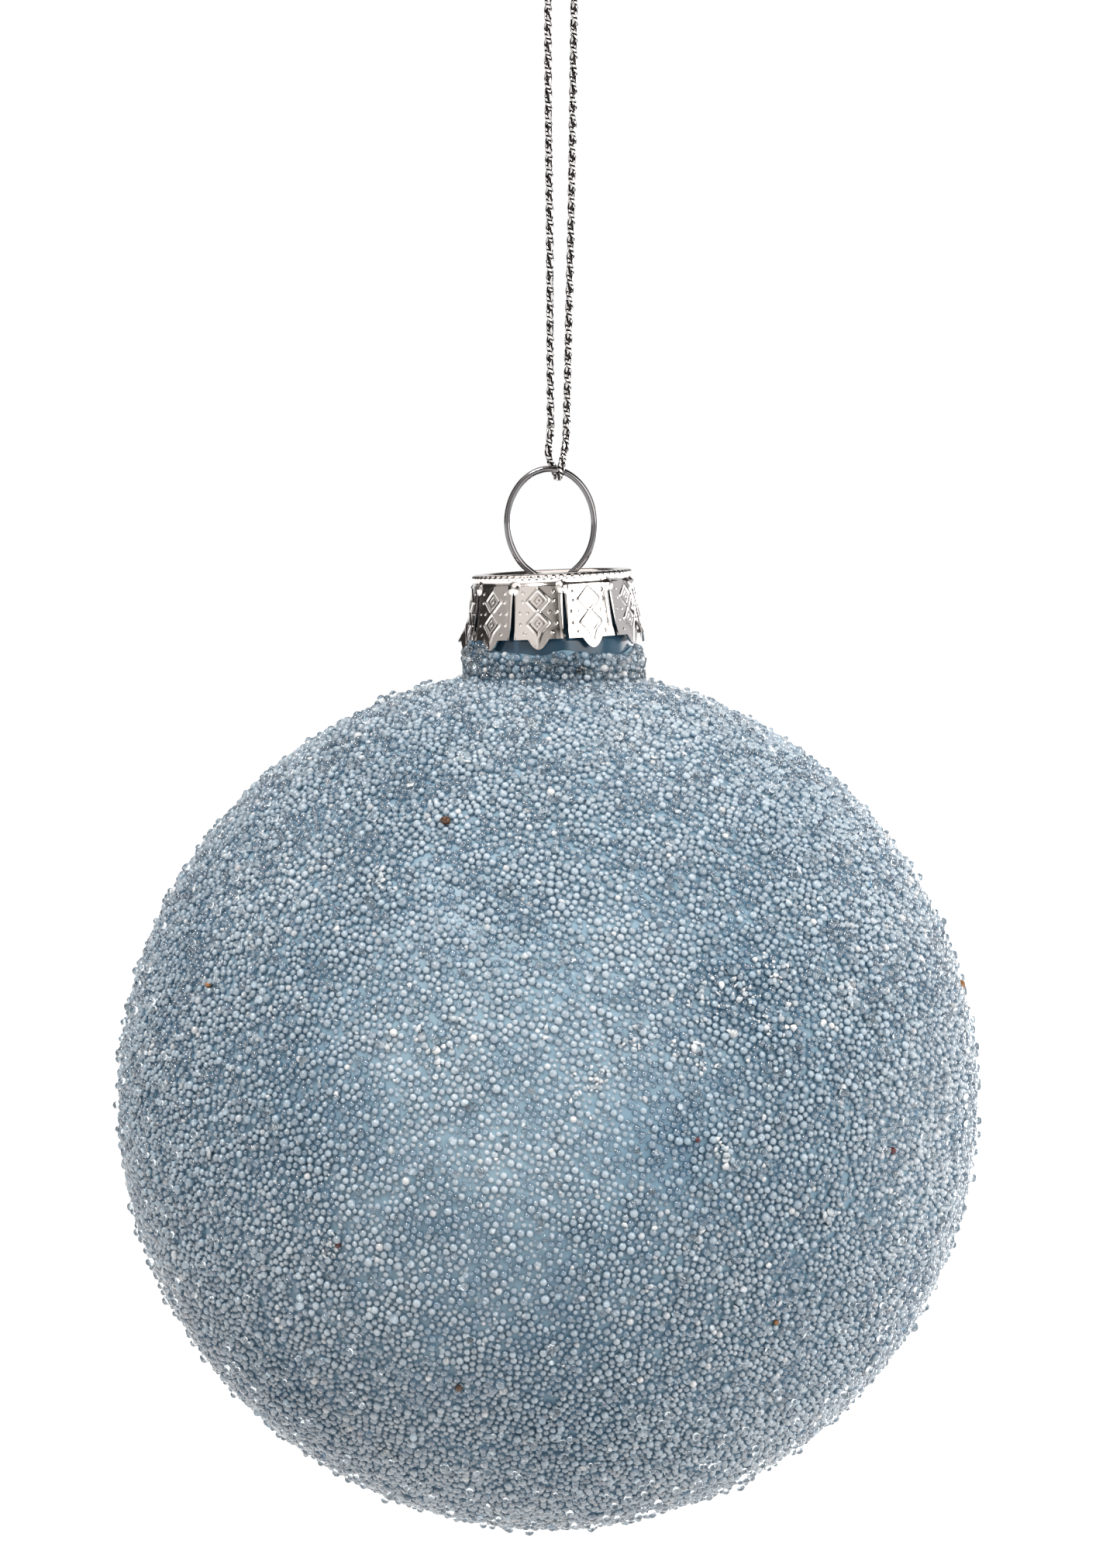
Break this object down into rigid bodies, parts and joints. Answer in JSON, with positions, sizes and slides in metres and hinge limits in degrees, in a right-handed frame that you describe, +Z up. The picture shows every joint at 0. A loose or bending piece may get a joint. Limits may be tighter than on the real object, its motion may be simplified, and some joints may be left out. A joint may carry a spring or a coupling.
{
  "type": "glass ball ornament",
  "caption": "Hanging round glass bauble coated in clear microbeads, with a stamped silver cap, an oval wire ring and a knotted metallic cord loop.",
  "frame": {"origin": "the closed top of the cord loop, directly under its knot, where the ornament hangs", "axes": "+Z up along the plumb line through the loop and the ball's centre; -Y is the front, which the oval ring faces; +X is to the right seen from the front"},
  "size_m": [0.0802, 0.0802, 0.1525],
  "materials": {
    "lacquered_glass": "blown glass, glossy outside, opaque blue lacquer inside",
    "glass_microbeads": "clear glass beads and flakes packed in adhesive, sparkling and rough",
    "cap_sheet": "bright stamped and embossed thin sheet",
    "hanger_wire": "nickel-plated spring wire, bright drawn",
    "metallic_thread": "braided metallic silver thread"
  },
  "bodies": {
    "cord": {"cord_strand_left": "metallic_thread", "cord_strand_right": "metallic_thread", "cord_knot": "metallic_thread"},
    "bight": {"cord_bight": "metallic_thread"},
    "hanger": {"wire_hanger": "hanger_wire"},
    "cap": {"cap_crown": "cap_sheet"},
    "ball": {"glass_ball": "lacquered_glass", "bead_coat": "glass_microbeads"}
  },
  "joints": [
    {"name": "cord_twist", "type": "hinge", "parent": "cord", "child": "bight", "pos_m": [0, 0, -0.0426], "axis": [0, 0, 1], "range_deg": [-170, 170]},
    {"name": "ring_nod", "type": "hinge", "parent": "bight", "child": "hanger", "pos_m": [0.00022, 0, -0.04685], "axis": [1, 0, 0], "range_deg": [-90, 90]},
    {"name": "ring_tilt", "type": "hinge", "parent": "hanger", "child": "cap", "pos_m": [-0.00009, 0, -0.05679], "axis": [0.9983, 0, 0.0576], "range_deg": [-5, 5]},
    {"name": "ball_release", "type": "slide", "parent": "cap", "child": "ball", "axis": [0, 0, -1], "range_m": [0, 0.022]}
  ]
}
